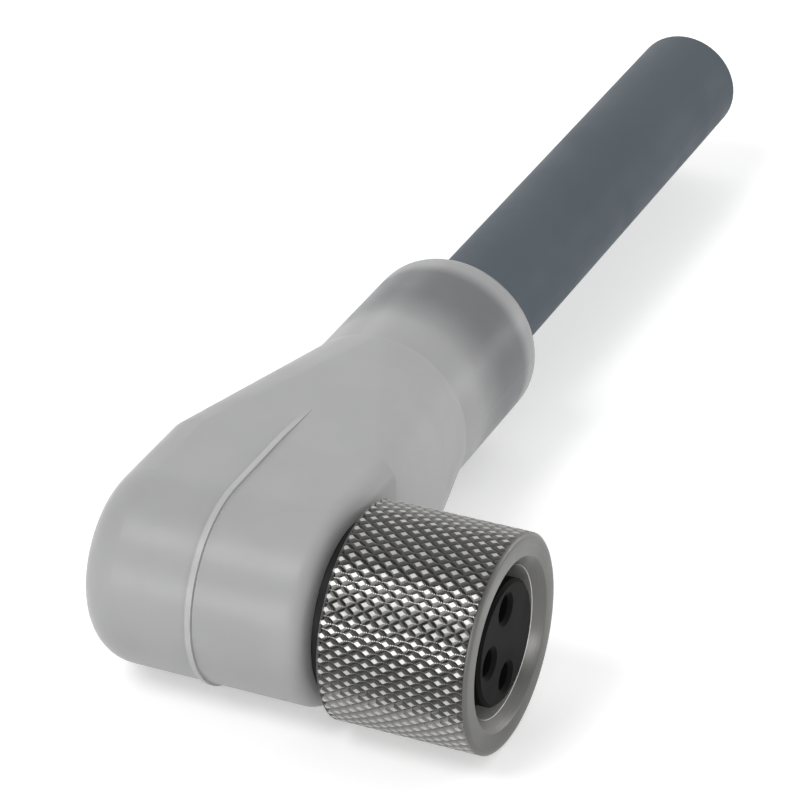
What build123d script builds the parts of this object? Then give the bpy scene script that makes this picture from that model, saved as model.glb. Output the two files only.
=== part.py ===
from build123d import *
import math
import os

# Angled sensor connector with a moulded grip, a knurled coupling nut and a cut cable.
# Frame in millimetres: +X leaves the socket, +Y follows the cable, +Z is up.
# The origin is the centre of the socket's mating face.

# Clearances between pieces
SLIP = 0.03              # between pieces that are moulded or pushed together
RUNNING = 0.06           # around the neck that the nut turns on
END_FLOAT = 0.10         # from each end of the nut's collar to what stops it
NUT_GAP = 0.65           # from the nut's rear to the grip
OVERCUT = 1.0            # how far a cut runs past the face it starts from

# Coupling nut
NUT_R = 5.0
NUT_L = 7.0              # mouth to rear
NUT_PROUD = 0.25         # how far the nut stands past the mating face
NUT_BAND_FRONT = 0.15    # plain bevelled band in front of the knurl
NUT_BAND_REAR = 0.05
NUT_BEVEL = 0.22
THREAD_R = 3.46          # crest radius of the M8 x 1 thread
MOUTH_R = 3.95
RELIEF_R = 4.10
RELIEF_L = 1.0
COLLAR_L = 1.25          # inward collar that holds the nut on the carrier

# Diamond knurl
KNURL_ROUND = 54
KNURL_ALONG = 8
KNURL_DEPTH = 0.20

# Contact carrier
SPIGOT_R = 2.90
SPIGOT_EDGE = 0.15
FLANGE_R = 3.35
FLANGE_L = 0.80
NECK_R = 2.98
TAIL_R = 2.90
TAIL_L = 0.75            # behind the stop ring

# Sealing ring at the foot of the spigot
SEAL_SEAT_R = 2.70
SEAL_T = 0.63            # thickness between the seat and the ring's outside
SEAL_L = 0.60
SEAL_ROUND = 0.12

# Socket contacts
PIN_CIRCLE_R = 1.75
ENTRY_R = 0.60
ENTRY_FLARE_R = 0.80
ENTRY_DRAFT = 0.02       # how much narrower and wider the moulded entry's ends are
ENTRY_L = 1.10
CHAMBER_R = 0.80
SOCKET_BORE_R = 0.50
SOCKET_R = 0.70
SOCKET_GAP = 0.20        # from the entry's floor to the socket's mouth
SOCKET_TINE_L = 3.6
SOCKET_SLOT_W = 0.12
SOCKET_LEAD = 0.08
SOCKET_DEPTH = 4.4
SOCKET_COLLAR_L = 1.2
SOCKET_STEM_R = 0.62
SOLDER_CUP_R = 0.34
SOLDER_CUP_L = 1.0
SOLDER_STANDS = 1.1      # how far the contacts stand out of the carrier's back
CONTACT_PLACES = {"contact_1": 90.0, "contact_4": 180.0, "contact_3": 270.0}

# Stop ring that shows as a dark line behind the nut
STOP_R = 4.0
STOP_SEAT = 0.75         # how deep the grip holds it

# Moulded grip
HEAD_R = 4.75
HEAD_BACK = 5.80         # from the cable's axis to the grip's back face
HEAD_EDGE_FRONT = 1.05
HEAD_EDGE_BACK = 2.0
HEAD_STRAIGHT = 4.8      # from the nut's axis to where the taper starts
TAPER_L = 10.7
GRIP_NECK_R = 4.45
GRIP_NECK_L = 9.1
LIP_ROUND = 1.0
NECK_FLAT = 0.2          # width of the flats that blend the taper into the round neck
SEAM_X = 0.10            # the mould's split line, in front of the cable's axis
SEAM_W = 0.25
SEAM_H = 0.12
SEAM_L = 7.9

# Inner moulding around the joints
INNER_R = 3.40
INNER_BACK = 4.2         # behind the cable's axis
INNER_NECK_L = 10.0
INNER_EDGE = 0.6

# Cable
CABLE_R = 2.85
CABLE_END = 55.7
SHEATH_START = 6.5
SQUEEZE = 0.17           # how much thinner moulding pressure leaves the sheath in the grip
SQUEEZE_L = 0.6          # length over which it swells to full size, across the grip's mouth
CORE_R = 0.75
CONDUCTOR_R = 0.30
CORE_STRIP = 0.6         # bare conductor between the insulation and the solder cup
CORE_SPREAD_R = 3.0
CORE_BEND_R = 1.6
CORE_LEAD = 0.17         # straight insulation between the bend and the bare conductor
CORE_PLACES = {"brown": ("contact_1", 90.0), "blue": ("contact_3", 330.0), "black": ("contact_4", 210.0)}

# Places along the nut's axis, from the mouth back to the cable
NUT_FRONT_X = NUT_PROUD
NUT_REAR_X = NUT_FRONT_X - NUT_L
COLLAR_FRONT_X = NUT_REAR_X + COLLAR_L
FLANGE_REAR_X = COLLAR_FRONT_X + END_FLOAT
FLANGE_FRONT_X = FLANGE_REAR_X + FLANGE_L
SEAT_FRONT_X = FLANGE_FRONT_X + SEAL_L + 2 * SLIP
HEAD_FRONT_X = NUT_REAR_X - NUT_GAP
STOP_FRONT_X = NUT_REAR_X - END_FLOAT
STOP_REAR_X = HEAD_FRONT_X - STOP_SEAT
CARRIER_REAR_X = STOP_REAR_X - TAIL_L
SOCKET_FRONT_X = -ENTRY_L - SOCKET_GAP
SOCKET_REAR_X = CARRIER_REAR_X - SOLDER_STANDS
INSULATION_X = SOCKET_REAR_X - CORE_STRIP
CONDUCTOR_X = SOCKET_REAR_X + SOLDER_CUP_L - SLIP
BUNDLE_R = (CORE_R + SLIP) / math.cos(math.radians(30))
CABLE_X = INSULATION_X - CORE_LEAD - CORE_BEND_R - CORE_R - SLIP
HEAD_BACK_X = CABLE_X - HEAD_BACK

# Places along the cable
TAPER_END_Y = HEAD_STRAIGHT + TAPER_L
LIP_Y = TAPER_END_Y + GRIP_NECK_L


def turned(points):
    """A solid of revolution about the X axis, from points given as (x, radius)."""
    return revolve(make_face(Polyline(*points, close=True)), Axis.X)


def rod(radius, x_from, x_to, y=0.0, z=0.0):
    """A round bar along X."""
    place = Plane(origin=(x_from, y, z), x_dir=(0, 1, 0), z_dir=(1, 0, 0))
    return extrude(place * Circle(radius), amount=x_to - x_from)


def bar_along_cable(radius, y_from, y_to):
    """A round bar on the cable's axis."""
    place = Plane(origin=(CABLE_X, y_from, 0), x_dir=(1, 0, 0), z_dir=(0, 1, 0))
    return extrude(place * Circle(radius), amount=y_to - y_from)


def contact_yz(name):
    angle = math.radians(CONTACT_PLACES[name])
    return PIN_CIRCLE_R * math.cos(angle), PIN_CIRCLE_R * math.sin(angle)


# Knurled outside of the nut: pyramids on a diamond lattice, as crossed rolling leaves them
def knurled_bar(x_rear, x_front):
    half_turn = math.pi / KNURL_ROUND
    columns = 2 * KNURL_ALONG
    half_pitch = (x_front - x_rear) / columns

    def point(column, step, radius):
        angle = step * half_turn
        return Vector(x_rear + column * half_pitch, radius * math.cos(angle), radius * math.sin(angle))

    def node(column, step):
        return point(column, step, NUT_R - KNURL_DEPTH)

    faces = []
    rims = {0: [], columns: []}
    for column in range(columns + 1):
        for turn in range(KNURL_ROUND):
            step = 2 * turn + 1 + column % 2
            apex = point(column, step, NUT_R)
            below, above = node(column, step - 1), node(column, step + 1)
            if column > 0:
                rear = node(column - 1, step)
                faces += [(apex, below, rear), (apex, rear, above)]
            if column < columns:
                front = node(column + 1, step)
                faces += [(apex, front, below), (apex, above, front)]
            if column in rims:
                rims[column] += [below, apex]
    shell = [Face(Wire.make_polygon(corners)) for corners in faces]
    shell += [Face(Wire.make_polygon(corners)) for corners in rims.values()]
    return Solid(Shell(shell))


def coupling_nut():
    knurl_front = NUT_FRONT_X - NUT_BAND_FRONT
    knurl_rear = NUT_REAR_X + NUT_BAND_REAR
    outside = knurled_bar(knurl_rear, knurl_front)
    front_band = turned([(knurl_front, 0), (knurl_front, NUT_R), (NUT_FRONT_X, NUT_R - NUT_BEVEL), (NUT_FRONT_X, 0)])
    rear_band = turned([(NUT_REAR_X, 0), (NUT_REAR_X, NUT_R - NUT_BAND_REAR), (knurl_rear, NUT_R), (knurl_rear, 0)])
    mouth_x = NUT_FRONT_X - (MOUTH_R - THREAD_R)
    relief_front = COLLAR_FRONT_X + RELIEF_L
    ramp = RELIEF_R - THREAD_R
    collar_r = NECK_R + RUNNING
    bore = turned([
        (NUT_REAR_X - OVERCUT, 0), (NUT_REAR_X - OVERCUT, collar_r), (COLLAR_FRONT_X, collar_r),
        (COLLAR_FRONT_X, RELIEF_R), (relief_front, RELIEF_R), (relief_front + ramp, THREAD_R), (mouth_x, THREAD_R),
        (NUT_FRONT_X, MOUTH_R), (NUT_FRONT_X + OVERCUT, MOUTH_R), (NUT_FRONT_X + OVERCUT, 0)])
    return outside + front_band + rear_band - bore


def contact_carrier():
    body = turned([
        (0, 0), (0, SPIGOT_R - SPIGOT_EDGE), (-SPIGOT_EDGE, SPIGOT_R), (SEAT_FRONT_X, SPIGOT_R),
        (SEAT_FRONT_X, SEAL_SEAT_R), (FLANGE_FRONT_X, SEAL_SEAT_R), (FLANGE_FRONT_X, FLANGE_R),
        (FLANGE_REAR_X, FLANGE_R), (FLANGE_REAR_X, NECK_R), (STOP_REAR_X, NECK_R), (STOP_REAR_X, TAIL_R),
        (CARRIER_REAR_X, TAIL_R), (CARRIER_REAR_X, 0)])
    wide, narrow = ENTRY_R + ENTRY_DRAFT, ENTRY_R - ENTRY_DRAFT
    cut = turned([
        (OVERCUT, 0), (OVERCUT, ENTRY_FLARE_R), (0, ENTRY_FLARE_R), (wide - ENTRY_FLARE_R, wide),
        (-ENTRY_L, narrow), (-ENTRY_L, CHAMBER_R), (CARRIER_REAR_X - OVERCUT, CHAMBER_R),
        (CARRIER_REAR_X - OVERCUT, 0)])
    for name in CONTACT_PLACES:
        y, z = contact_yz(name)
        body -= Pos(0, y, z) * cut
    return body


def sealing_ring():
    place = Plane.XY * Pos(FLANGE_FRONT_X + SLIP + SEAL_L / 2, SEAL_SEAT_R + SLIP + SEAL_T / 2)
    return revolve(place * RectangleRounded(SEAL_L, SEAL_T, SEAL_ROUND), Axis.X)


def stop_ring():
    return rod(STOP_R, STOP_REAR_X, STOP_FRONT_X) - rod(NECK_R + SLIP, STOP_REAR_X, STOP_FRONT_X)


def socket_contact():
    """One contact on the X axis, with a slotted spring mouth and a solder cup."""
    mouth, end = SOCKET_FRONT_X, SOCKET_REAR_X
    collar_front = mouth - SOCKET_DEPTH
    collar_rear = collar_front - SOCKET_COLLAR_L
    outside = turned([
        (mouth, 0), (mouth, SOCKET_R - SOCKET_LEAD), (mouth - SOCKET_LEAD, SOCKET_R), (collar_front, SOCKET_R),
        (collar_front, CHAMBER_R - SLIP), (collar_rear, CHAMBER_R - SLIP), (collar_rear, SOCKET_STEM_R),
        (end, SOCKET_STEM_R), (end, 0)])
    bore = turned([
        (mouth, 0), (mouth, SOCKET_BORE_R + SOCKET_LEAD), (mouth - SOCKET_LEAD, SOCKET_BORE_R),
        (mouth - SOCKET_DEPTH, SOCKET_BORE_R), (mouth - SOCKET_DEPTH, 0)])
    slot = Box(SOCKET_TINE_L, 3 * SOCKET_R, SOCKET_SLOT_W, align=(Align.MAX, Align.CENTER, Align.CENTER))
    return outside - bore - Pos(mouth, 0, 0) * slot - rod(SOLDER_CUP_R, end, end + SOLDER_CUP_L)


# Cable cores, from the cut end to the solder cups
def core_path(core, x_end):
    contact, angle = CORE_PLACES[core]
    y, z = contact_yz(contact)
    x = CABLE_X + BUNDLE_R * math.cos(math.radians(angle))
    lift = BUNDLE_R * math.sin(math.radians(angle))
    points = [(x, CABLE_END, lift), (x, SHEATH_START, lift), (x, y, z), (x_end, y, z)]
    return FilletPolyline(*points, radius=[CORE_SPREAD_R, CORE_BEND_R])


def along(path, outer, inner=0.0):
    """A round rod or tube that follows a path."""
    ring = Circle(outer) - Circle(inner) if inner else Circle(outer)
    return sweep(Plane(origin=path @ 0, z_dir=path % 0) * ring, path=path)


def core_insulation(core):
    return along(core_path(core, INSULATION_X), CORE_R, CONDUCTOR_R + SLIP)


def core_conductor(core):
    return along(core_path(core, CONDUCTOR_X), CONDUCTOR_R)


def sheath_outside(grow=0.0):
    """The sheath as a solid bar, thinner where the grip is moulded onto it."""
    thin, full = CABLE_R - SQUEEZE + grow, CABLE_R + grow
    outline = Polyline(
        (0, SHEATH_START - grow), (thin, SHEATH_START - grow), (thin, LIP_Y - SQUEEZE_L / 2),
        (full, LIP_Y + SQUEEZE_L / 2), (full, CABLE_END), (0, CABLE_END), close=True)
    return Pos(CABLE_X, 0, 0) * revolve(make_face(outline), Axis.Y)


def cable_sheath():
    return sheath_outside() - bar_along_cable(BUNDLE_R + CORE_R + SLIP, SHEATH_START, CABLE_END)


# Inner moulding: a block round the solder joints and the end of the sheath
def inner_block(grow=0.0):
    front = rod(INNER_R + grow, CABLE_X - INNER_BACK - grow, STOP_REAR_X + grow)
    neck = bar_along_cable(INNER_R + grow, 0, INNER_NECK_L + grow)
    return front + neck


def inner_moulding():
    block = inner_block()
    rims = block.edges().filter_by(GeomType.CIRCLE)
    block = fillet([rims.sort_by(Axis.X)[0], rims.sort_by(Axis.Y)[-1]], INNER_EDGE)
    block -= rod(TAIL_R + SLIP, CARRIER_REAR_X - SLIP, STOP_REAR_X)
    block -= sheath_outside(SLIP)
    for core, (contact, angle) in CORE_PLACES.items():
        y, z = contact_yz(contact)
        block -= rod(SOCKET_STEM_R + SLIP, SOCKET_REAR_X - SLIP, CARRIER_REAR_X, y, z)
        block -= along(core_path(core, CONDUCTOR_X), CONDUCTOR_R + SLIP)
        block -= along(core_path(core, INSULATION_X + SLIP), CORE_R + SLIP)
    return block


# Outside of the moulded grip
def head_section():
    """The head's cross-section in X and Z, with its two pairs of rounded edges."""
    plane = Plane(origin=((HEAD_FRONT_X + HEAD_BACK_X) / 2, 0, 0), x_dir=(1, 0, 0), z_dir=(0, -1, 0))
    box = Rectangle(HEAD_FRONT_X - HEAD_BACK_X, 2 * HEAD_R)
    box = fillet(box.vertices().sort_by(Axis.X)[2:], HEAD_EDGE_FRONT)
    box = fillet(box.vertices().sort_by(Axis.X)[:2], HEAD_EDGE_BACK)
    return plane * box


def neck_section():
    plane = Plane(origin=(CABLE_X, TAPER_END_Y, 0), x_dir=(1, 0, 0), z_dir=(0, -1, 0))
    return plane * RectangleRounded(2 * GRIP_NECK_R, 2 * GRIP_NECK_R, GRIP_NECK_R - NECK_FLAT / 2)


def seam_ridge():
    """The thin ridge that the mould's split line leaves round the end of the head."""
    reach = HEAD_R + SEAM_H
    fall = (HEAD_R - GRIP_NECK_R) / TAPER_L * (SEAM_L - HEAD_STRAIGHT)
    plane = Plane(origin=(CABLE_X + SEAM_X, 0, 0), x_dir=(0, 1, 0), z_dir=(1, 0, 0))
    outline = Polyline((0, -reach), (HEAD_STRAIGHT, -reach), (SEAM_L, fall - HEAD_R), (SEAM_L, HEAD_R - fall),
                       (HEAD_STRAIGHT, reach), (0, reach))
    end = ThreePointArc((0, reach), (-reach, 0), (0, -reach))
    return extrude(plane * make_face(outline + end), amount=SEAM_W / 2, both=True)


def grip_outside():
    section = head_section()
    upper = section & Pos(CABLE_X, 0, HEAD_R) * Box(4 * HEAD_BACK, HEAD_R, 2 * HEAD_R)
    head = revolve(upper, Axis.X, 180)
    straight = extrude(section, amount=-HEAD_STRAIGHT)
    taper = loft([Pos(0, HEAD_STRAIGHT, 0) * section, neck_section()], ruled=True)
    neck = bar_along_cable(GRIP_NECK_R, TAPER_END_Y, LIP_Y)
    lip = neck.edges().filter_by(GeomType.CIRCLE).sort_by(Axis.Y)[-1]
    return head + straight + taper + fillet(lip, LIP_ROUND) + seam_ridge()


def grip_body():
    body = grip_outside() - inner_block(SLIP)
    body -= rod(STOP_R + SLIP, STOP_REAR_X - SLIP, STOP_FRONT_X)
    return body - sheath_outside(SLIP)


def pieces():
    made = {
        "grip_body": grip_body(),
        "inner_moulding": inner_moulding(),
        "contact_carrier": contact_carrier(),
        "sealing_ring": sealing_ring(),
        "stop_ring": stop_ring(),
        "coupling_nut": coupling_nut(),
        "cable_sheath": cable_sheath(),
    }
    for name in CONTACT_PLACES:
        y, z = contact_yz(name)
        made[name] = Pos(0, y, z) * socket_contact()
    for core in CORE_PLACES:
        made["core_" + core] = core_insulation(core)
        made["conductor_" + core] = core_conductor(core)
    return made


os.makedirs("parts", exist_ok=True)
for name, shape in pieces().items():
    export_step(shape, "parts/" + name + ".step")
    print(name, len(shape.solids()), "solid", round(shape.volume, 2), "mm3")
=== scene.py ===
"""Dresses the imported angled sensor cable: a knurled steel nut, a translucent moulded grip and its cable.

The frame is the CAD model's own: +X leaves the socket, +Y follows the cable, +Z is up, and the origin is
the centre of the socket's mating face. Lengths are in millimetres, apart from those that are said to be in
metres, and a texture's scale is a count per metre.
"""

import logging
import math
from dataclasses import dataclass
from enum import Enum

import bpy
import numpy as np
from mathutils import Matrix, Vector

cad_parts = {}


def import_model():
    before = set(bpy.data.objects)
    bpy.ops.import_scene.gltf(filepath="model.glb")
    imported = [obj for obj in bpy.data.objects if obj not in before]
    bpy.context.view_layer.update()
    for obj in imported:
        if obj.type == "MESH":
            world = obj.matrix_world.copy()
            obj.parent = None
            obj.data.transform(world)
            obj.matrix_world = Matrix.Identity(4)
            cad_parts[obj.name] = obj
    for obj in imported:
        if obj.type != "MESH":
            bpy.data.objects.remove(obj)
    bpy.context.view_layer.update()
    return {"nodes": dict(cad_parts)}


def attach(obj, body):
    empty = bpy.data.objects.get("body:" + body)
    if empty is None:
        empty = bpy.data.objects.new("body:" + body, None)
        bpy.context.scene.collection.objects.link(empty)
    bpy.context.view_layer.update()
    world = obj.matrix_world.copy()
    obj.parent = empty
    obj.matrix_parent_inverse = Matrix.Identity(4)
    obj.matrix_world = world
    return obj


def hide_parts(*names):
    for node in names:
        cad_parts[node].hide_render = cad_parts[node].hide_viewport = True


MM = 0.001
WHITE = (1.0, 1.0, 1.0)
NODE_SPACING = 180
LOG = logging.getLogger("sensor_cable")

Tone = tuple[float, float, float]
Socket = bpy.types.NodeSocket


class Body(Enum):
    """The body that turns against the rest of the model."""

    NUT = "nut"


class NutSurface(Enum):
    """The nut's material slots."""

    KNURL = 0
    TURNED = 1
    BORE = 2


# Shader nodes


@dataclass(frozen=True)
class Ramp:
    """A smooth step from the low level at start to the high level at end."""

    start: float
    end: float
    low: float = 0.0
    high: float = 1.0

    def in_metres(self) -> "Ramp":
        """Gives the same ramp for a length that the nodes measure in metres."""
        return Ramp(self.start * MM, self.end * MM, self.low, self.high)


class Sheet:
    """A node tree that is filled from left to right."""

    # A Mix node's colour sockets go by number, because its sockets for other kinds bear the same names.
    MIX_SHARE = 0
    MIX_FIRST = 6
    MIX_SECOND = 7
    MIX_RESULT = 2

    def __init__(self, tree: bpy.types.NodeTree) -> None:
        """Keeps the tree.

        Args:
            tree: The material's, world's or group's node tree.
        """
        self.tree = tree

    def node(self, kind: str, **settings: object) -> bpy.types.Node:
        """Adds a node.

        Args:
            kind: The node's type name.
            **settings: Attributes to set on it.

        Returns:
            The new node.
        """
        made = self.tree.nodes.new(kind)
        made.location = (NODE_SPACING * (len(self.tree.nodes) - 1), 0)
        for name, value in settings.items():
            setattr(made, name, value)
        return made

    def feed(self, socket: Socket, value: object) -> None:
        """Links an output to a socket, or sets the socket's own value.

        Args:
            socket: The input.
            value: An output socket, a number or a tuple.
        """
        if isinstance(value, Socket):
            self.tree.links.new(value, socket)
        else:
            socket.default_value = value

    def math(self, operation: str, first: object, second: object = 0.0) -> Socket:
        """Adds a Math node.

        Args:
            operation: The node's operation.
            first: The first value or output.
            second: The second value or output.

        Returns:
            The result's output.
        """
        made = self.node("ShaderNodeMath", operation=operation)
        self.feed(made.inputs[0], first)
        self.feed(made.inputs[1], second)
        return made.outputs[0]

    def weigh(self, share: float, first: object, second: object) -> Socket:
        """Adds up a share of the first value and the rest of the second one.

        Args:
            share: How much of the first value counts, from 0 to 1.
            first: The first value or output.
            second: The second value or output.

        Returns:
            The result's output.
        """
        part = self.math("MULTIPLY", first, share)
        rest = self.math("MULTIPLY", second, 1.0 - share)
        return self.math("ADD", part, rest)

    def span(self, value: object, ramp: Ramp) -> Socket:
        """Adds a smooth Map Range node.

        Args:
            value: The value or output that is mapped.
            ramp: The levels that it is mapped to.

        Returns:
            The result's output.
        """
        made = self.node("ShaderNodeMapRange", interpolation_type="SMOOTHSTEP")
        given = {
            "Value": value,
            "From Min": ramp.start,
            "From Max": ramp.end,
            "To Min": ramp.low,
            "To Max": ramp.high,
        }
        for name, setting in given.items():
            self.feed(made.inputs[name], setting)
        return made.outputs[0]

    def mix(self, share: object, first: object, second: object, blend: str = "MIX") -> Socket:
        """Adds a colour Mix node.

        Args:
            share: How much of the second colour shows.
            first: The first colour or output.
            second: The second colour or output.
            blend: The node's blend type.

        Returns:
            The result's output.
        """
        made = self.node("ShaderNodeMix", data_type="RGBA", blend_type=blend)
        self.feed(made.inputs[self.MIX_SHARE], share)
        self.feed(made.inputs[self.MIX_FIRST], first)
        self.feed(made.inputs[self.MIX_SECOND], second)
        return made.outputs[self.MIX_RESULT]

    def noise(self, where: Socket, scale: object, detail: float = 2.0, distortion: float = 0.0) -> Socket:
        """Adds a Noise Texture node.

        Args:
            where: The output that gives the place.
            scale: Blotches per metre, or an output that gives them.
            detail: How many finer layers it has.
            distortion: How far the blotches are pulled out of shape.

        Returns:
            The noise's value, about 0.5 on average.
        """
        made = self.node("ShaderNodeTexNoise")
        self.feed(made.inputs["Vector"], where)
        self.feed(made.inputs["Scale"], scale)
        self.feed(made.inputs["Detail"], detail)
        self.feed(made.inputs["Distortion"], distortion)
        return made.outputs[0]

    def place(self) -> Socket:
        """Gives the output for a point's place on its own object, in metres."""
        return self.node("ShaderNodeTexCoord").outputs["Object"]

    def coordinates(self, where: Socket) -> tuple[Socket, Socket, Socket]:
        """Splits a place or direction into its three coordinates.

        Args:
            where: The output that gives it.

        Returns:
            The outputs for x, y and z.
        """
        split = self.node("ShaderNodeSeparateXYZ")
        self.feed(split.inputs[0], where)
        return split.outputs[0], split.outputs[1], split.outputs[2]

    def reach(self, y: Socket, z: Socket) -> Socket:
        """Gives how far a point lies from the X axis.

        Args:
            y: The output for the point's y.
            z: The output for the point's z.

        Returns:
            The distance's output, in metres.
        """
        square = self.math("ADD", self.math("MULTIPLY", y, y), self.math("MULTIPLY", z, z))
        return self.math("SQRT", square)


def rgba(tone: Tone) -> tuple[float, float, float, float]:
    """Adds a full alpha to a linear colour."""
    return (tone[0], tone[1], tone[2], 1.0)


@dataclass(frozen=True)
class EffectSizes:
    """The usual scales of the shared effects, and how their layers are mixed."""

    grain: float = 6000.0
    cloud: float = 160.0
    cloud_detail: float = 3.0
    rings: float = 9000.0
    ring_detail: float = 2.0
    ring_share: float = 0.6
    waver: float = 0.02
    waver_scale: float = 300.0
    blotches: float = 900.0
    smears: float = 220.0
    smear_detail: float = 4.0
    smear_distortion: float = 0.6
    smear_band: Ramp = Ramp(0.35, 0.7)


class SharedEffects:
    """Node groups that more than one material uses."""

    def __init__(self) -> None:
        """Builds each group once."""
        self.sizes = EffectSizes()
        self.skin = self._moulded_skin()
        self.turning = self._turning_marks()
        self.handling = self._handling()

    @staticmethod
    def _group(
        name: str, inputs: dict[str, float], outputs: list[str]
    ) -> tuple[Sheet, bpy.types.Node, bpy.types.Node]:
        """Starts a group whose sockets are all plain numbers, and which finds its place itself.

        Args:
            name: The group's name.
            inputs: Each input's name and usual value.
            outputs: Each output's name.

        Returns:
            The group's sheet, its input node and its output node.
        """
        tree = bpy.data.node_groups.new(name, "ShaderNodeTree")
        for label, usual in inputs.items():
            socket = tree.interface.new_socket(name=label, in_out="INPUT", socket_type="NodeSocketFloat")
            socket.default_value = usual
        for label in outputs:
            tree.interface.new_socket(name=label, in_out="OUTPUT", socket_type="NodeSocketFloat")
        sheet = Sheet(tree)
        return sheet, sheet.node("NodeGroupInput"), sheet.node("NodeGroupOutput")

    def _moulded_skin(self) -> bpy.types.NodeTree:
        """Builds the fine spark-eroded texture of a plastic moulding.

        Returns:
            The group, with a height and a slow tone that both vary about 0.5.
        """
        inputs = {"Grain per metre": self.sizes.grain, "Cloud per metre": self.sizes.cloud}
        sheet, given, result = self._group("moulded_skin", inputs, ["Height", "Tone"])
        place = sheet.place()
        fine = sheet.noise(place, given.outputs["Grain per metre"])
        cloud = sheet.noise(place, given.outputs["Cloud per metre"], self.sizes.cloud_detail)
        sheet.feed(result.inputs["Height"], fine)
        sheet.feed(result.inputs["Tone"], cloud)
        return sheet.tree

    def _turning_marks(self) -> bpy.types.NodeTree:
        """Builds the rings that a lathe tool leaves about the X axis.

        Returns:
            The group, with a height and a tone that vary about 0.5.
        """
        inputs = {"Rings per metre": self.sizes.rings, "Waver": self.sizes.waver * MM}
        sheet, given, result = self._group("turning_marks", inputs, ["Height", "Tone"])
        place = sheet.place()
        x, y, z = sheet.coordinates(place)
        reach = sheet.math("ADD", sheet.reach(y, z), x)
        waver = sheet.math("MULTIPLY", sheet.noise(place, self.sizes.waver_scale), given.outputs["Waver"])
        count = sheet.math("MULTIPLY", sheet.math("ADD", reach, waver), given.outputs["Rings per metre"])
        rings = sheet.node("ShaderNodeTexNoise", noise_dimensions="1D")
        sheet.feed(rings.inputs["W"], count)
        sheet.feed(rings.inputs["Scale"], 1.0)
        sheet.feed(rings.inputs["Detail"], self.sizes.ring_detail)
        blotches = sheet.noise(place, self.sizes.blotches)
        sheet.feed(result.inputs["Height"], rings.outputs[0])
        sheet.feed(result.inputs["Tone"], sheet.weigh(self.sizes.ring_share, rings.outputs[0], blotches))
        return sheet.tree

    def _handling(self) -> bpy.types.NodeTree:
        """Builds the faint smears of a part that has been handled.

        Returns:
            The group, with a smear mask from 0 to 1.
        """
        inputs = {"Smears per metre": self.sizes.smears}
        sheet, given, result = self._group("handling", inputs, ["Smear"])
        scale = given.outputs["Smears per metre"]
        smear = sheet.noise(sheet.place(), scale, self.sizes.smear_detail, self.sizes.smear_distortion)
        sheet.feed(result.inputs["Smear"], sheet.span(smear, self.sizes.smear_band))
        return sheet.tree


class Paint(Sheet):
    """A material's node tree, with its shader and the shared effects at hand."""

    def __init__(self, material: bpy.types.Material, effects: SharedEffects) -> None:
        """Keeps the material's nodes.

        Args:
            material: A material that uses nodes.
            effects: The shared node groups.
        """
        super().__init__(material.node_tree)
        self.shader = material.node_tree.nodes["Principled BSDF"]
        self.effects = effects

    def set(self, **values: object) -> None:
        """Feeds the shader's inputs.

        Args:
            **values: Values or outputs, with spaces in the inputs' names written as underscores.
        """
        for name, value in values.items():
            self.feed(self.shader.inputs[name.replace("_", " ")], value)

    def effect(self, tree: bpy.types.NodeTree, **values: float) -> bpy.types.Node:
        """Places one of the shared effects.

        Args:
            tree: The effect's group.
            **values: Its input values, with spaces in their names written as underscores.

        Returns:
            The group's node.
        """
        made = self.node("ShaderNodeGroup", node_tree=tree)
        for name, value in values.items():
            made.inputs[name.replace("_", " ")].default_value = value
        return made

    def smear(self, **values: float) -> Socket:
        """Gives the mask of the faint smears, from 0 to 1."""
        return self.effect(self.effects.handling, **values).outputs["Smear"]

    def clouded(self, tone: object, pattern: Socket, levels: Ramp) -> Socket:
        """Lightens and darkens a colour by a slow pattern.

        Args:
            tone: The colour or its output.
            pattern: The pattern's output.
            levels: What the pattern multiplies the colour by.

        Returns:
            The colour's output.
        """
        return self.mix(1.0, tone, self.span(pattern, levels), "MULTIPLY")

    def relief(self, height: Socket, depth: float) -> None:
        """Feeds a height into the shader's normal.

        Args:
            height: The height's output, from 0 to 1.
            depth: What a height of 1 stands for.
        """
        bump = self.node("ShaderNodeBump")
        self.feed(bump.inputs["Height"], height)
        self.feed(bump.inputs["Distance"], depth * MM)
        self.set(Normal=bump.outputs[0])


# Finishes


class Finish:
    """A finish that can be turned into a material."""

    name: str

    def material(self, effects: SharedEffects) -> bpy.types.Material:
        """Builds the finish's material.

        Args:
            effects: The shared node groups.

        Returns:
            The material.
        """
        made = bpy.data.materials.new(self.name)
        made.use_nodes = True
        self.fill(Paint(made, effects))
        return made

    def fill(self, paint: Paint) -> None:
        """Wires the finish's nodes into the shader.

        Args:
            paint: The material's nodes.
        """
        raise NotImplementedError


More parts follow.
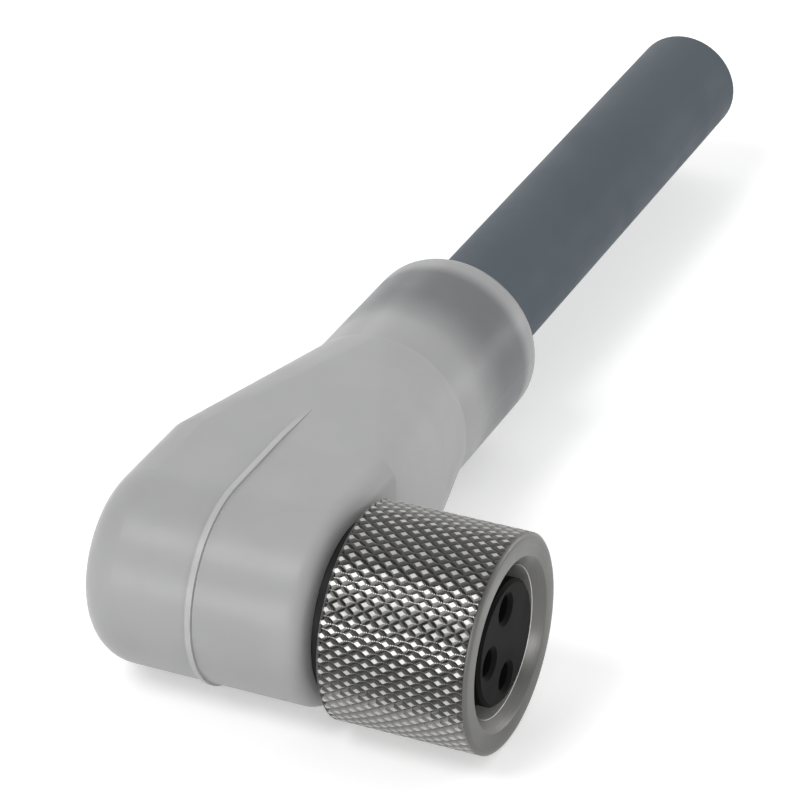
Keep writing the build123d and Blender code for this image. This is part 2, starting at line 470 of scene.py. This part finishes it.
@dataclass(frozen=True)
class TranslucentGrip(Finish):
    """Soft light grey grip plastic, with painted shade near the mouth where the dark cable shows through and
    on the lip's rounding, and painted light along the seam's ridge.
    """

    name: str = "translucent_grip"
    tone: Tone = (0.36, 0.36, 0.363)
    # Painted shade: the darker tone near the mouth, where the dark cable shows through the thin wall, and on
    # the lip's rounding.
    shaded_tone: Tone = (0.155, 0.159, 0.165)
    shade_rise: Ramp = Ramp(16.4, 20.6)
    shade_onset: Ramp = Ramp(16.4, 18.4)
    shade_fall: Ramp = Ramp(22.3, 23.4, 1.0, 0.04)
    lip_rounding_shade: Ramp = Ramp(23.6, 24.15, 0.04, 0.6)
    seam: float = -13.05
    seam_side: Ramp = Ramp(0.26, 0.16)
    seam_fade: Ramp = Ramp(8.0, 4.0)
    # Painted light: a lighter tone along the seam's ridge that lifts the shade beside it.
    seam_light_tone: Tone = (0.435, 0.435, 0.438)
    grain: float = 9000.0
    cloud: float = 240.0
    cloud_levels: Ramp = Ramp(0.25, 0.75, 0.965, 1.03)
    roughness: Ramp = Ramp(0.0, 1.0, 0.33, 0.41)
    gloss: float = 0.26
    index: float = 1.5
    scatter: float = 0.15
    scatter_depth: float = 0.6
    scatter_spread: tuple[float, float, float] = (1.0, 1.0, 1.0)
    relief: float = 0.004

    def fill(self, paint: Paint) -> None:
        """Wires the finish's nodes into the shader.

        Args:
            paint: The material's nodes.
        """
        x, along, _ = paint.coordinates(paint.place())
        # The seam's ridge gets painted light, which lifts the shade beside it.
        beside = paint.math("ABSOLUTE", paint.math("SUBTRACT", x, self.seam * MM))
        side = paint.span(beside, self.seam_side.in_metres())
        seam_light = paint.math("MULTIPLY", side, paint.span(along, self.seam_fade.in_metres()))
        # Painted shade: darker from y 16.4 mm towards the mouth, clearing just behind the lip and darker
        # again on the lip's rounding.
        rise = paint.span(along, self.shade_rise.in_metres())
        fall = paint.span(along, self.shade_fall.in_metres())
        lip_rounding_shade = paint.span(along, self.lip_rounding_shade.in_metres())
        shade = paint.math("MAXIMUM", paint.math("MULTIPLY", rise, fall), lip_rounding_shade)
        shade = paint.math("MULTIPLY", shade, paint.span(along, self.shade_onset.in_metres()))
        skin = paint.effect(paint.effects.skin, Grain_per_metre=self.grain, Cloud_per_metre=self.cloud)
        tone = paint.mix(seam_light, rgba(self.tone), rgba(self.seam_light_tone))
        tone = paint.mix(shade, tone, rgba(self.shaded_tone))
        paint.set(
            Base_Color=paint.clouded(tone, skin.outputs["Tone"], self.cloud_levels),
            Roughness=paint.span(paint.smear(), self.roughness),
            Subsurface_Weight=self.scatter,
            Subsurface_Radius=self.scatter_spread,
            Subsurface_Scale=self.scatter_depth * MM,
            IOR=self.index,
            Specular_IOR_Level=self.gloss,
        )
        paint.relief(skin.outputs["Height"], self.relief)


@dataclass(frozen=True)
class MouldedPlastic(Finish):
    """Plain moulded plastic or rubber."""

    name: str
    tone: Tone
    roughness: float
    grain: float = 7000.0
    relief: float = 0.004
    gloss: float = 0.5
    cloud_levels: Ramp = Ramp(0.25, 0.75, 0.92, 1.08)
    smear_rise: float = 0.08

    def fill(self, paint: Paint) -> None:
        """Wires the finish's nodes into the shader.

        Args:
            paint: The material's nodes.
        """
        skin = paint.effect(paint.effects.skin, Grain_per_metre=self.grain)
        rough = Ramp(0.0, 1.0, self.roughness, self.roughness + self.smear_rise)
        paint.set(
            Base_Color=paint.clouded(rgba(self.tone), skin.outputs["Tone"], self.cloud_levels),
            Roughness=paint.span(paint.smear(), rough),
            Specular_IOR_Level=self.gloss,
        )
        paint.relief(skin.outputs["Height"], self.relief)


@dataclass(frozen=True)
class CableJacket(Finish):
    """Extruded dark blue-grey jacket with very faint lines along it."""

    name: str = "cable_jacket"
    tone: Tone = (0.086, 0.105, 0.123)
    smear_tone: Tone = (0.12, 0.135, 0.148)
    smear_share: float = 0.12
    roughness: Ramp = Ramp(0.0, 1.0, 0.48, 0.58)
    gloss: float = 0.08
    grain: float = 5000.0
    cloud: float = 120.0
    cloud_levels: Ramp = Ramp(0.25, 0.75, 0.95, 1.06)
    line_stretch: tuple[float, float, float] = (1.0, 0.04, 1.0)
    line_scale: float = 2400.0
    line_detail: float = 3.0
    line_share: float = 0.7
    relief: float = 0.012

    def fill(self, paint: Paint) -> None:
        """Wires the finish's nodes into the shader.

        Args:
            paint: The material's nodes.
        """
        skin = paint.effect(paint.effects.skin, Grain_per_metre=self.grain, Cloud_per_metre=self.cloud)
        smear = paint.smear()
        stretch = paint.node("ShaderNodeMapping")
        paint.feed(stretch.inputs["Vector"], paint.place())
        paint.feed(stretch.inputs["Scale"], self.line_stretch)
        lines = paint.noise(stretch.outputs[0], self.line_scale, self.line_detail)
        tone = paint.clouded(rgba(self.tone), skin.outputs["Tone"], self.cloud_levels)
        share = paint.math("MULTIPLY", smear, self.smear_share)
        paint.set(
            Base_Color=paint.mix(share, tone, rgba(self.smear_tone)),
            Roughness=paint.span(smear, self.roughness),
            Specular_IOR_Level=self.gloss,
        )
        paint.relief(paint.weigh(self.line_share, lines, skin.outputs["Height"]), self.relief)


@dataclass(frozen=True)
class TurnedMetal(Finish):
    """Metal that was turned on a lathe about the X axis."""

    name: str
    tone: Tone
    roughness: float
    rings: float = 9000.0
    relief: float = 0.003
    metallic: float = 1.0
    cloud_levels: Ramp = Ramp(0.3, 0.7, 0.96, 1.04)
    smear_rise: float = 0.07

    def fill(self, paint: Paint) -> None:
        """Wires the finish's nodes into the shader.

        Args:
            paint: The material's nodes.
        """
        marks = paint.effect(paint.effects.turning, Rings_per_metre=self.rings)
        rough = Ramp(0.0, 1.0, self.roughness, self.roughness + self.smear_rise)
        paint.set(
            Metallic=self.metallic,
            Base_Color=paint.clouded(rgba(self.tone), marks.outputs["Tone"], self.cloud_levels),
            Roughness=paint.span(paint.smear(), rough),
        )
        paint.relief(marks.outputs["Height"], self.relief)


@dataclass(frozen=True)
class RolledKnurl(Finish):
    """Stainless steel pressed by knurling wheels: satin tops, and grooves darkened by painted shade, deepest
    at the bottom.
    """

    name: str = "knurled_steel"
    tone: Tone = (0.47, 0.467, 0.458)
    # Painted shade in the grooves: walls darker than the tops, bottoms darker still.
    wall_shade_tone: Tone = (0.26, 0.258, 0.252)
    bottom_shade_tone: Tone = (0.09, 0.089, 0.086)
    bottom: Ramp = Ramp(5.0, 4.82)
    wall: Ramp = Ramp(5.0, 4.98)
    roughness: Ramp = Ramp(0.0, 1.0, 0.4, 0.16)
    grain: float = 14000.0
    cloud: float = 900.0
    cloud_levels: Ramp = Ramp(0.25, 0.75, 0.93, 1.06)
    smears: float = 500.0
    smear_rise: float = 0.06
    relief: float = 0.003

    def fill(self, paint: Paint) -> None:
        """Wires the finish's nodes into the shader.

        Args:
            paint: The material's nodes.
        """
        _, y, z = paint.coordinates(paint.place())
        reach = paint.reach(y, z)
        bottom = paint.span(reach, self.bottom.in_metres())
        wall = paint.span(reach, self.wall.in_metres())
        skin = paint.effect(paint.effects.skin, Grain_per_metre=self.grain, Cloud_per_metre=self.cloud)
        # Painted shade: the groove walls are darker than the tops, and darker still towards the groove
        # bottoms.
        groove = paint.mix(bottom, rgba(self.wall_shade_tone), rgba(self.bottom_shade_tone))
        tone = paint.mix(wall, rgba(self.tone), groove)
        smear = paint.math("MULTIPLY", paint.smear(Smears_per_metre=self.smears), self.smear_rise)
        paint.set(
            Metallic=1.0,
            Base_Color=paint.clouded(tone, skin.outputs["Tone"], self.cloud_levels),
            Roughness=paint.math("ADD", paint.span(wall, self.roughness), smear),
        )
        paint.relief(skin.outputs["Height"], self.relief)


@dataclass(frozen=True)
class PaleFloor(Finish):
    """The studio's matt floor, which shows white to the camera and in reflections."""

    name: str = "pale_floor"
    cloud: float = 30.0
    tone_levels: Ramp = Ramp(0.3, 0.7, 0.795, 0.805)
    roughness: float = 0.9
    gloss: float = 0.1
    glow: float = 0.42

    def fill(self, paint: Paint) -> None:
        """Wires the finish's nodes into the shader.

        Args:
            paint: The material's nodes.
        """
        path = paint.node("ShaderNodeLightPath")
        seen = paint.math("MAXIMUM", path.outputs["Is Camera Ray"], path.outputs["Is Transmission Ray"])
        seen = paint.math("MAXIMUM", seen, path.outputs["Is Glossy Ray"])
        paint.set(
            Base_Color=paint.span(paint.noise(paint.place(), self.cloud), self.tone_levels),
            Roughness=self.roughness,
            Specular_IOR_Level=self.gloss,
            Emission_Color=rgba(WHITE),
            Emission_Strength=paint.math("MULTIPLY", seen, self.glow),
        )


# Meshes


def mesh_object(
    name: str, points: np.ndarray, faces: list[list[int]], sharp_deg: float = 30.0
) -> bpy.types.Object:
    """Makes a smooth-shaded object from points in millimetres.

    Args:
        name: The object's name.
        points: One row per point.
        faces: Point numbers of each face.
        sharp_deg: Edges that bend more than this stay crisp.

    Returns:
        The object, linked into the scene.
    """
    mesh = bpy.data.meshes.new(name)
    mesh.from_pydata((points * MM).tolist(), [], faces)
    mesh.validate()
    mesh.shade_smooth()
    mesh.set_sharp_from_angle(angle=math.radians(sharp_deg))
    made = bpy.data.objects.new(name, mesh)
    bpy.context.scene.collection.objects.link(made)
    return made


def coat(target: bpy.types.Object, *materials: bpy.types.Material) -> bpy.types.Object:
    """Gives an object its materials, in slot order.

    Args:
        target: The object.
        *materials: One material per slot.

    Returns:
        The object.
    """
    target.data.materials.clear()
    for material in materials:
        target.data.materials.append(material)
    return target


class FaceList:
    """The nut's faces, with the material slot of each."""

    def __init__(self) -> None:
        """Starts with no faces."""
        self.faces: list[list[int]] = []
        self.slots: list[int] = []

    def add(self, faces: list[list[int]], surface: NutSurface) -> None:
        """Keeps faces that lie on one surface."""
        self.faces.extend(faces)
        self.slots.extend([surface.value] * len(faces))


# Sub-assemblies


@dataclass(frozen=True)
class Lattice:
    """The knurl's two crossing sets of grooves, counted round the nut and along it."""

    round: int = 54
    pitch: float = 0.853
    phase_down: float = 0.486
    phase_up: float = 0.10


@dataclass
class CouplingNut:
    """The stainless nut: a rolled diamond knurl outside, a thread and a countersunk mouth inside.

    Each ring of an edge is given by how far it lies from the nut's end, and how far inside the outer radius
    or beyond the mouth's.
    """

    radius: float = 5.0
    front: float = 0.25
    rear: float = -6.75
    front_edge: tuple[tuple[float, float], ...] = ((0.0, 0.24), (0.02, 0.16), (0.07, 0.07), (0.13, 0.012))
    rear_edge: tuple[tuple[float, float], ...] = ((0.02, 0.0), (0.0, 0.03))
    knurl_front: float = 0.10
    knurl_rear: float = -6.70
    lattice: Lattice = Lattice()
    split: int = 10
    notch_half: float = 0.3
    notch_floor: float = 0.02
    notch_slope: float = 0.9
    front_rim: float = 0.35
    mouth: float = 3.95
    mouth_edge: tuple[tuple[float, float], ...] = ((0.0, 0.07), (0.012, 0.03), (0.04, -0.01))
    countersink_end: float = -0.22
    countersink_rest: float = 0.02
    crest_start: float = -0.25
    crest: float = 3.46
    root: float = 4.02
    thread_start: float = -1.3
    thread_end: float = -4.0
    thread_pitch: float = 1.0
    thread_step: float = 0.1
    thread_rise: float = 1.6
    thread_flat: float = 0.3
    thread_lead: float = 0.5
    relief: float = 4.10
    collar_front: float = -5.5
    collar: float = 3.04
    rear_rim: float = 0.15
    inner_count: int = 108
    sharp_deg: float = 26.0
    steel: RolledKnurl = RolledKnurl()
    # Painted shade: the turned faces' steel is toned far darker than the knurl's, standing in for darker
    # reflections.
    turned: TurnedMetal = TurnedMetal("turned_steel_painted_shade", (0.13, 0.129, 0.124), 0.3)
    # Painted light: the bore's steel is toned far lighter and less metallic than the turned steel, so the
    # deep bore reads as lit.
    bore: TurnedMetal = TurnedMetal("bored_steel_painted_light", (0.66, 0.656, 0.635), 0.4, metallic=0.5)

    @staticmethod
    def ring(x: float, reach: np.ndarray | float, turn: np.ndarray) -> np.ndarray:
        """Lays a ring of points round the X axis.

        Args:
            x: The place along the axis.
            reach: How far the points lie from it.
            turn: Their angles, in radians from -Y towards +Z.

        Returns:
            The points, one per row.
        """
        return np.stack([np.full(turn.size, x), -reach * np.cos(turn), reach * np.sin(turn)], -1)

    def notch(self, x: float, turn: np.ndarray) -> np.ndarray:
        """Gives how deep the knurl is: two crossing sets of grooves that leave flat-topped diamonds.

        Args:
            x: The place along the nut.
            turn: Angles round it, in radians from -Y towards +Z.

        Returns:
            The depth at each angle.
        """
        lattice = self.lattice
        along = x / lattice.pitch
        cells = turn * lattice.round / (2 * math.pi)
        arc = 2 * math.pi * self.radius / lattice.round
        spacing = 1 / math.hypot(1 / lattice.pitch, 1 / arc)
        depth = np.zeros(turn.shape)
        for line in (along + cells - lattice.phase_down, along - cells - lattice.phase_up):
            across = np.abs(line - np.round(line))
            depth = np.maximum(depth, self.notch_half - np.maximum(across, self.notch_floor))
        return depth * spacing * self.notch_slope

    def outer_row(self, x: float, odd: int, depth: float | None = None) -> np.ndarray:
        """Lays one row of the outside.

        Args:
            x: The place along the nut.
            odd: 1 where the row is turned half a step forward, else 0.
            depth: How far a plain row lies inside the outer radius, or None for a row of the knurl.

        Returns:
            The row's points.
        """
        lattice = self.lattice
        base = (lattice.phase_down - lattice.phase_up) / 2
        cells = np.arange(lattice.round * self.split) / self.split + odd / (2 * self.split) + base
        turn = cells * 2 * math.pi / lattice.round
        return self.ring(x, self.radius - (self.notch(x, turn) if depth is None else depth), turn)

    def outside(self) -> list[np.ndarray]:
        """Lays the rows of the outside from front to rear, each turned half a step against the one before.

        Returns:
            One array of points per row.
        """
        step = self.lattice.pitch / (2 * self.split)
        corner = self.lattice.pitch * (self.lattice.phase_down + self.lattice.phase_up) / 2
        first = math.ceil((corner - self.knurl_front) / step)
        last = math.floor((corner - self.knurl_rear) / step)
        rows = []
        for number, (behind, depth) in enumerate(self.front_edge, first - len(self.front_edge)):
            rows.append(self.outer_row(self.front - behind, number % 2, depth))
        for number in range(first, last + 1):
            rows.append(self.outer_row(corner - number * step, number % 2))
        for number, (ahead, depth) in enumerate(self.rear_edge, last + 1):
            rows.append(self.outer_row(self.rear + ahead, number % 2, depth))
        return rows

    def thread(self, x: float, turn: np.ndarray) -> np.ndarray:
        """Gives the bore's radius on the thread, whose groove begins gradually.

        Args:
            x: The place along the nut.
            turn: Angles round it, in radians from -Y towards +Z.

        Returns:
            The radius at each angle.
        """
        wave = (x / self.thread_pitch + turn / (2 * math.pi)) % 1.0
        groove = np.clip(self.thread_rise * (1 - np.abs(2 * wave - 1)) - self.thread_flat, 0, 1)
        lead = min(1.0, (self.thread_start - x) / self.thread_lead)
        return self.crest + (self.root - self.crest) * groove * lead

    def inside(self) -> list[np.ndarray]:
        """Lays the rows of the inside, from the flat front face through the thread to the flat rear.

        Returns:
            One array of points per row.
        """
        turn = np.linspace(0, 2 * math.pi, self.inner_count, endpoint=False)
        rows = [(self.front, self.radius - self.front_rim)]
        rows += [(self.front - behind, self.mouth + beyond) for behind, beyond in self.mouth_edge]
        rows.append((self.countersink_end, self.crest + self.countersink_rest))
        rows += [(self.crest_start, self.crest), (self.thread_start, self.crest)]
        for x in np.arange(self.thread_start - self.thread_step, self.thread_end, -self.thread_step):
            rows.append((x, self.thread(x, turn)))
        rows += [(self.thread_end, self.relief), (self.collar_front, self.relief)]
        rows += [(self.collar_front, self.collar), (self.rear, self.collar)]
        rows.append((self.rear, self.radius - self.rear_rim))
        return [self.ring(x, reach, turn) for x, reach in rows]

    @staticmethod
    def outer_faces(low: int, count: int, odd: bool) -> list[list[int]]:
        """Joins two rows of the outside with triangles, the second turned half a step forward or back.

        Args:
            low: The first row's first point. The second row's points follow the first row's.
            count: Points in a row.
            odd: Whether the first row is the one that is turned half a step forward.

        Returns:
            The faces.
        """
        high = low + count
        faces = []
        for i in range(count):
            j = (i + 1) % count
            if odd:
                faces += [[low + i, high + i, high + j], [low + i, high + j, low + j]]
            else:
                faces += [[low + i, high + i, low + j], [low + j, high + i, high + j]]
        return faces

    @staticmethod
    def inner_faces(low: int, count: int) -> list[list[int]]:
        """Joins two rows of the inside with four-sided faces.

        Args:
            low: The first row's first point. The second row's points follow the first row's.
            count: Points in a row.

        Returns:
            The faces.
        """
        high = low + count
        after = [(i + 1) % count for i in range(count)]
        return [[low + j, high + j, high + i, low + i] for i, j in enumerate(after)]

    @staticmethod
    def end_faces(fine_row: int, fine: int, coarse_row: int, coarse: int) -> list[list[int]]:
        """Joins an end row of the outside to one of the inside, which has fewer points.

        Args:
            fine_row: The outside row's first point.
            fine: Points in it.
            coarse_row: The inside row's first point.
            coarse: Points in it.

        Returns:
            The faces.
        """
        share = fine // coarse
        faces = []
        for i in range(coarse):
            edge = [fine_row + (i * share + k) % fine for k in range(share + 1)]
            faces.append(edge + [coarse_row + (i + 1) % coarse, coarse_row + i])
        return faces

    def build(self) -> tuple[bpy.types.Object, list[int]]:
        """Makes the nut's closed mesh.

        Returns:
            The nut, and each face's material slot.
        """
        outer = self.outside()
        inner = self.inside()
        fine = len(outer[0])
        coarse = self.inner_count
        skin = FaceList()
        angles = [math.atan2(row[0][2], -row[0][1]) for row in outer]
        knurl = range(len(self.front_edge), len(outer) - 1 - len(self.rear_edge))
        for number in range(len(outer) - 1):
            faces = self.outer_faces(number * fine, fine, angles[number] > angles[number + 1])
            skin.add(faces, NutSurface.KNURL if number in knurl else NutSurface.TURNED)
        start = fine * len(outer)
        bore = range(len(self.mouth_edge) + 1, len(inner) - 2)
        for number in range(len(inner) - 1):
            faces = self.inner_faces(start + number * coarse, coarse)
            skin.add(faces, NutSurface.BORE if number in bore else NutSurface.TURNED)
        skin.add(self.end_faces(0, fine, start, coarse), NutSurface.TURNED)
        rear = self.end_faces(start - fine, fine, start + (len(inner) - 1) * coarse, coarse)
        skin.add([face[::-1] for face in rear], NutSurface.TURNED)
        return mesh_object("nut_body", np.vstack(outer + inner), skin.faces, self.sharp_deg), skin.slots

    def dress(self, effects: SharedEffects) -> list[bpy.types.Object]:
        """Builds the nut in its finishes and puts it in place of its CAD solid.

        Args:
            effects: The shared node groups.

        Returns:
            The nut.
        """
        nut, slots = self.build()
        finishes = (self.steel, self.turned, self.bore)
        coat(nut, *(finish.material(effects) for finish in finishes))
        nut.data.polygons.foreach_set("material_index", np.array(slots, np.int32))
        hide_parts("coupling_nut")
        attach(nut, Body.NUT.value)
        return [nut]


@dataclass
class Grip:
    """The moulded grip, the inner moulding under it and the black rings behind and inside the nut."""

    outer: TranslucentGrip = TranslucentGrip()
    inner: MouldedPlastic = MouldedPlastic("inner_plastic", (0.55, 0.55, 0.53), 0.5)
    black: MouldedPlastic = MouldedPlastic("black_ring", (0.012, 0.012, 0.013), 0.5, gloss=0.15)
    rings: tuple[str, ...] = ("stop_ring", "sealing_ring")

    def dress(self, nodes: dict[str, bpy.types.Object], effects: SharedEffects) -> list[bpy.types.Object]:
        """Gives the grip's CAD solids their finishes.

        Args:
            nodes: The CAD nodes by name.
            effects: The shared node groups.

        Returns:
            The pieces.
        """
        pieces = [coat(nodes["grip_body"], self.outer.material(effects))]
        pieces.append(coat(nodes["inner_moulding"], self.inner.material(effects)))
        black = self.black.material(effects)
        return pieces + [coat(nodes[name], black) for name in self.rings]


@dataclass
class ContactInsert:
    """The black contact carrier and its gold-plated sockets."""

    plastic: MouldedPlastic = MouldedPlastic("insert_plastic", (0.009, 0.009, 0.0094), 0.5, gloss=0.03)
    plating: TurnedMetal = TurnedMetal("gold_plating", (0.83, 0.62, 0.27), 0.22, rings=12000.0, relief=0.001)
    sockets: tuple[str, ...] = ("contact_1", "contact_3", "contact_4")

    def dress(self, nodes: dict[str, bpy.types.Object], effects: SharedEffects) -> list[bpy.types.Object]:
        """Gives the insert and its sockets their finishes.

        Args:
            nodes: The CAD nodes by name.
            effects: The shared node groups.

        Returns:
            The pieces.
        """
        pieces = [coat(nodes["contact_carrier"], self.plastic.material(effects))]
        plating = self.plating.material(effects)
        return pieces + [coat(nodes[name], plating) for name in self.sockets]


@dataclass
class Cable:
    """The cable: its jacket, three insulated cores and their copper conductors."""

    jacket: CableJacket = CableJacket()
    cores: tuple[tuple[str, Tone], ...] = (
        ("brown", (0.16, 0.062, 0.026)),
        ("blue", (0.015, 0.075, 0.32)),
        ("black", (0.014, 0.014, 0.015)),
    )
    core_roughness: float = 0.36
    core_grain: float = 4000.0
    core_relief: float = 0.003
    copper: TurnedMetal = TurnedMetal("copper_wire", (0.78, 0.36, 0.2), 0.3, rings=4000.0, relief=0.001)

    def dress(self, nodes: dict[str, bpy.types.Object], effects: SharedEffects) -> list[bpy.types.Object]:
        """Gives the cable's CAD solids their finishes.

        Args:
            nodes: The CAD nodes by name.
            effects: The shared node groups.

        Returns:
            The pieces.
        """
        pieces = [coat(nodes["cable_sheath"], self.jacket.material(effects))]
        copper = self.copper.material(effects)
        for colour, tone in self.cores:
            name = "core_" + colour
            skin = MouldedPlastic(name, tone, self.core_roughness, self.core_grain, self.core_relief)
            pieces.append(coat(nodes[name], skin.material(effects)))
            pieces.append(coat(nodes["conductor_" + colour], copper))
        return pieces


# Studio


@dataclass(frozen=True)
class Softbox:
    """A soft rectangular lamp that looks at the part, with its distance and size in metres."""

    name: str
    direction: tuple[float, float, float]
    distance: float
    size: tuple[float, float]
    radiance: float

    def place(self, target: Vector) -> None:
        """Puts the lamp in the scene.

        Args:
            target: The point that it looks at.
        """
        lamp = bpy.data.lights.new(self.name, "AREA")
        lamp.shape = "RECTANGLE"
        lamp.size, lamp.size_y = self.size
        lamp.energy = self.radiance * self.size[0] * self.size[1] * math.pi
        away = Vector(self.direction).normalized()
        made = bpy.data.objects.new(self.name, lamp)
        made.location = target + away * self.distance
        made.rotation_euler = away.to_track_quat("Z", "Y").to_euler()
        made.visible_camera = False
        bpy.context.scene.collection.objects.link(made)


@dataclass
class Studio:
    """The pale floor, the soft light round it and the camera, whose clipping distances are in metres."""

    eye: tuple[float, float, float] = (57.783, -134.461, 96.567)
    right: tuple[float, float, float] = (0.90914, 0.41632, -0.01192)
    down: tuple[float, float, float] = (0.19849, -0.45825, -0.86638)
    forward: tuple[float, float, float] = (-0.36616, 0.78529, -0.49925)
    lens: float = 181.23
    sensor_width: float = 36.0
    clip: tuple[float, float] = (0.005, 20.0)
    target: tuple[float, float, float] = (-8.0, 4.0, 0.0)
    floor_z: float = -5.0
    floor_half: float = 3000.0
    floor_finish: PaleFloor = PaleFloor()
    sky_levels: Ramp = Ramp(-0.1, 0.4, 0.4, 1.0)
    boxes: tuple[Softbox, ...] = (
        Softbox("upper_box", (-0.30, -0.48, 0.82), 0.6, (0.185, 0.24), 9.5),
        Softbox("lower_box", (-0.33, -0.93, 0.15), 0.6, (0.185, 0.19), 9.5),
        Softbox("side_box", (0.93, -0.34, 0.15), 0.6, (0.24, 0.34), 3.2),
        Softbox("back_right", (0.62, 0.785, 0.07), 0.35, (0.16, 0.05), 3.6),
        Softbox("back_left", (-0.5, 0.785, 0.34), 0.6, (0.12, 0.12), 1.5),
    )

    def camera(self) -> None:
        """Makes the camera at the photograph's viewing angle."""
        lens = bpy.data.cameras.new("camera")
        lens.sensor_width = self.sensor_width
        lens.lens = self.lens
        lens.clip_start, lens.clip_end = self.clip
        made = bpy.data.objects.new("camera", lens)
        columns = (Vector(self.right), -Vector(self.down), -Vector(self.forward))
        turn = Matrix(columns).transposed()
        made.matrix_world = Matrix.Translation(Vector(self.eye) * MM) @ turn.to_4x4()
        bpy.context.scene.collection.objects.link(made)
        bpy.context.scene.camera = made

    def floor(self, effects: SharedEffects) -> None:
        """Makes the pale floor.

        Args:
            effects: The shared node groups.
        """
        half = self.floor_half
        corners = ((-half, -half), (half, -half), (half, half), (-half, half))
        points = np.array([[x, y, self.floor_z] for x, y in corners])
        floor = mesh_object("floor", points, [[0, 1, 2, 3]])
        coat(floor, self.floor_finish.material(effects))

    def sky(self) -> None:
        """Makes the light all round: pale behind the part and darker in front of it."""
        world = bpy.data.worlds.new("studio")
        bpy.context.scene.world = world
        world.use_nodes = True
        sheet = Sheet(world.node_tree)
        direction = sheet.node("ShaderNodeTexCoord").outputs["Generated"]
        _, back, _ = sheet.coordinates(direction)
        background = world.node_tree.nodes["Background"]
        sheet.feed(background.inputs["Color"], rgba(WHITE))
        sheet.feed(background.inputs["Strength"], sheet.span(back, self.sky_levels))

    def build(self, effects: SharedEffects) -> None:
        """Makes the camera, the floor, the sky and the lamps.

        Args:
            effects: The shared node groups.
        """
        self.camera()
        self.floor(effects)
        self.sky()
        target = Vector(self.target) * MM
        for box in self.boxes:
            box.place(target)
        bpy.context.scene.view_settings.view_transform = "Standard"


def main() -> None:
    """Loads the frame, dresses each sub-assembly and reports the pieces."""
    logging.basicConfig(level=logging.INFO, format="%(message)s")
    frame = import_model()
    nodes = frame["nodes"]
    effects = SharedEffects()
    pieces = CouplingNut().dress(effects)
    pieces += Grip().dress(nodes, effects)
    pieces += ContactInsert().dress(nodes, effects)
    pieces += Cable().dress(nodes, effects)
    Studio().build(effects)
    for piece in pieces:
        finishes = ", ".join(material.name for material in piece.data.materials)
        LOG.info("%s: %d faces in %s", piece.name, len(piece.data.polygons), finishes)


if __name__ == "__main__":
    main()
